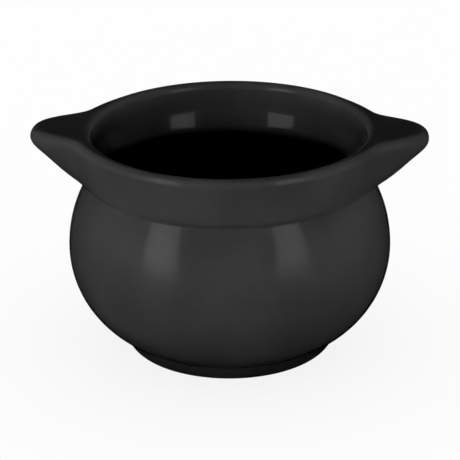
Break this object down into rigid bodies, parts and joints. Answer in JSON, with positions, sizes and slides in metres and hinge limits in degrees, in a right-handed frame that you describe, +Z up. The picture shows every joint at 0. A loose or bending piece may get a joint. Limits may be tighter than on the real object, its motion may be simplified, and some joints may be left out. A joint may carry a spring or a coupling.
{
  "type": "onion soup crock",
  "caption": "Pot-bellied glazed stoneware soup crock with a flared collar, a rounded rim, ear lugs at the sides and a low turned foot ring.",
  "frame": {"origin": "middle of the plane that the foot ring rests on, on the axis of the bowl", "axes": "+Z up along the axis of the bowl, +X along the line from the left lug to the right lug, -Y towards the viewer"},
  "size_m": [0.144, 0.118, 0.0832],
  "materials": {
    "belly_glaze": "black glaze, satin gloss",
    "collar_glaze": "black glaze, satin gloss, a little thinner on the rim",
    "lug_glaze": "black glaze, satin gloss",
    "foot_glaze": "black glaze with a bare clay tread"
  },
  "bodies": {
    "root": {"bowl_body": "belly_glaze", "rim_collar": "collar_glaze", "left_lug": "lug_glaze", "right_lug": "lug_glaze", "foot_ring": "foot_glaze"}
  },
  "joints": []
}
